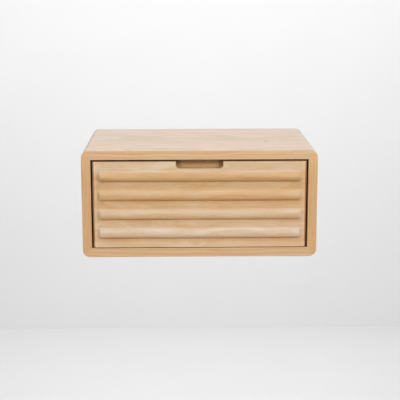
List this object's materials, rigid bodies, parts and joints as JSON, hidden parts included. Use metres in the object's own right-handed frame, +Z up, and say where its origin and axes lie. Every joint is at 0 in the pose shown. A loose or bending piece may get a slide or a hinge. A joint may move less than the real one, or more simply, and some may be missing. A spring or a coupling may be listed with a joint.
{
  "type": "floating nightstand",
  "caption": "Wall-hung wooden nightstand: a mitred case with rounded corners and a full-extension drawer, its front carved with horizontal ribs and a scooped finger pull.",
  "frame": {"origin": "middle of the wall rail's back face, on the wall plane", "axes": "+Z up, +Y into the wall, +X to the right seen from the front; the drawer opens towards -Y"},
  "size_m": [0.46, 0.307, 0.212],
  "materials": {
    "case_wood": "satin clear lacquer on light solid wood",
    "front_wood": "satin clear lacquer on light solid wood, carved",
    "box_wood": "sanded and sealed",
    "plywood": "sealed plywood",
    "rail_wood": "planed, unfinished",
    "spline_wood": "unfinished, glued in",
    "zinc_steel": "bright zinc plated",
    "cage_steel": "bright",
    "screw_steel": "zinc plated",
    "rubber": "matt",
    "lever_plastic": "moulded"
  },
  "bodies": {
    "case": {"top_panel": "case_wood", "bottom_panel": "case_wood", "left_side": "case_wood", "right_side": "case_wood", "mitre_spline_top_left": "spline_wood", "mitre_spline_top_right": "spline_wood", "mitre_spline_bottom_left": "spline_wood", "mitre_spline_bottom_right": "spline_wood", "back_panel": "plywood", "hanging_rail": "rail_wood", "wall_rail": "rail_wood", "hanging_rail_screw_1": "screw_steel", "hanging_rail_screw_2": "screw_steel", "hanging_rail_screw_3": "screw_steel", "hanging_rail_screw_4": "screw_steel", "cabinet_slide_left": "zinc_steel", "cabinet_slide_right": "zinc_steel", "slide_bumper_left": "rubber", "slide_bumper_right": "rubber", "cabinet_slide_screw_left_1": "screw_steel", "cabinet_slide_screw_left_2": "screw_steel", "cabinet_slide_screw_left_3": "screw_steel", "cabinet_slide_screw_right_1": "screw_steel", "cabinet_slide_screw_right_2": "screw_steel", "cabinet_slide_screw_right_3": "screw_steel"},
    "drawer": {"drawer_front": "front_wood", "drawer_box_front": "box_wood", "drawer_box_back": "box_wood", "drawer_left_side": "box_wood", "drawer_right_side": "box_wood", "drawer_bottom": "plywood", "front_screw_1": "screw_steel", "front_screw_2": "screw_steel", "front_screw_3": "screw_steel", "front_screw_4": "screw_steel", "drawer_slide_left": "zinc_steel", "drawer_slide_right": "zinc_steel", "drawer_slide_screw_left_1": "screw_steel", "drawer_slide_screw_left_2": "screw_steel", "drawer_slide_screw_right_1": "screw_steel", "drawer_slide_screw_right_2": "screw_steel"},
    "middle_left": {"middle_slide_left": "zinc_steel"},
    "outer_cage_left": {"outer_ball_cage_left": "cage_steel"},
    "inner_cage_left": {"inner_ball_cage_left": "cage_steel"},
    "lever_left": {"release_lever_left": "lever_plastic"},
    "middle_right": {"middle_slide_right": "zinc_steel"},
    "outer_cage_right": {"outer_ball_cage_right": "cage_steel"},
    "inner_cage_right": {"inner_ball_cage_right": "cage_steel"},
    "lever_right": {"release_lever_right": "lever_plastic"}
  },
  "joints": [
    {"name": "drawer_travel", "type": "slide", "parent": "case", "child": "drawer", "axis": [0, -1, 0], "range_m": [0, 0.25]},
    {"name": "middle_left_travel", "type": "slide", "parent": "case", "child": "middle_left", "axis": [0, -1, 0], "range_m": [0, 0.125]},
    {"name": "outer_cage_left_travel", "type": "slide", "parent": "case", "child": "outer_cage_left", "axis": [0, -1, 0], "range_m": [0, 0.0625]},
    {"name": "inner_cage_left_travel", "type": "slide", "parent": "case", "child": "inner_cage_left", "axis": [0, -1, 0], "range_m": [0, 0.1875]},
    {"name": "lever_left_press", "type": "hinge", "parent": "drawer", "child": "lever_left", "pos_m": [-0.2019, -0.188, -0.0088], "axis": [1, 0, 0], "range_deg": [-6, 0], "stiffness_Nm_per_rad": 0.05},
    {"name": "middle_right_travel", "type": "slide", "parent": "case", "child": "middle_right", "axis": [0, -1, 0], "range_m": [0, 0.125]},
    {"name": "outer_cage_right_travel", "type": "slide", "parent": "case", "child": "outer_cage_right", "axis": [0, -1, 0], "range_m": [0, 0.0625]},
    {"name": "inner_cage_right_travel", "type": "slide", "parent": "case", "child": "inner_cage_right", "axis": [0, -1, 0], "range_m": [0, 0.1875]},
    {"name": "lever_right_press", "type": "hinge", "parent": "drawer", "child": "lever_right", "pos_m": [0.2019, -0.188, -0.0088], "axis": [1, 0, 0], "range_deg": [0, 6], "stiffness_Nm_per_rad": 0.05}
  ],
  "couplings": [
    {"joint": "middle_left_travel", "follows": "drawer_travel", "ratio": 0.5},
    {"joint": "outer_cage_left_travel", "follows": "drawer_travel", "ratio": 0.25},
    {"joint": "inner_cage_left_travel", "follows": "drawer_travel", "ratio": 0.75},
    {"joint": "middle_right_travel", "follows": "drawer_travel", "ratio": 0.5},
    {"joint": "outer_cage_right_travel", "follows": "drawer_travel", "ratio": 0.25},
    {"joint": "inner_cage_right_travel", "follows": "drawer_travel", "ratio": 0.75}
  ]
}
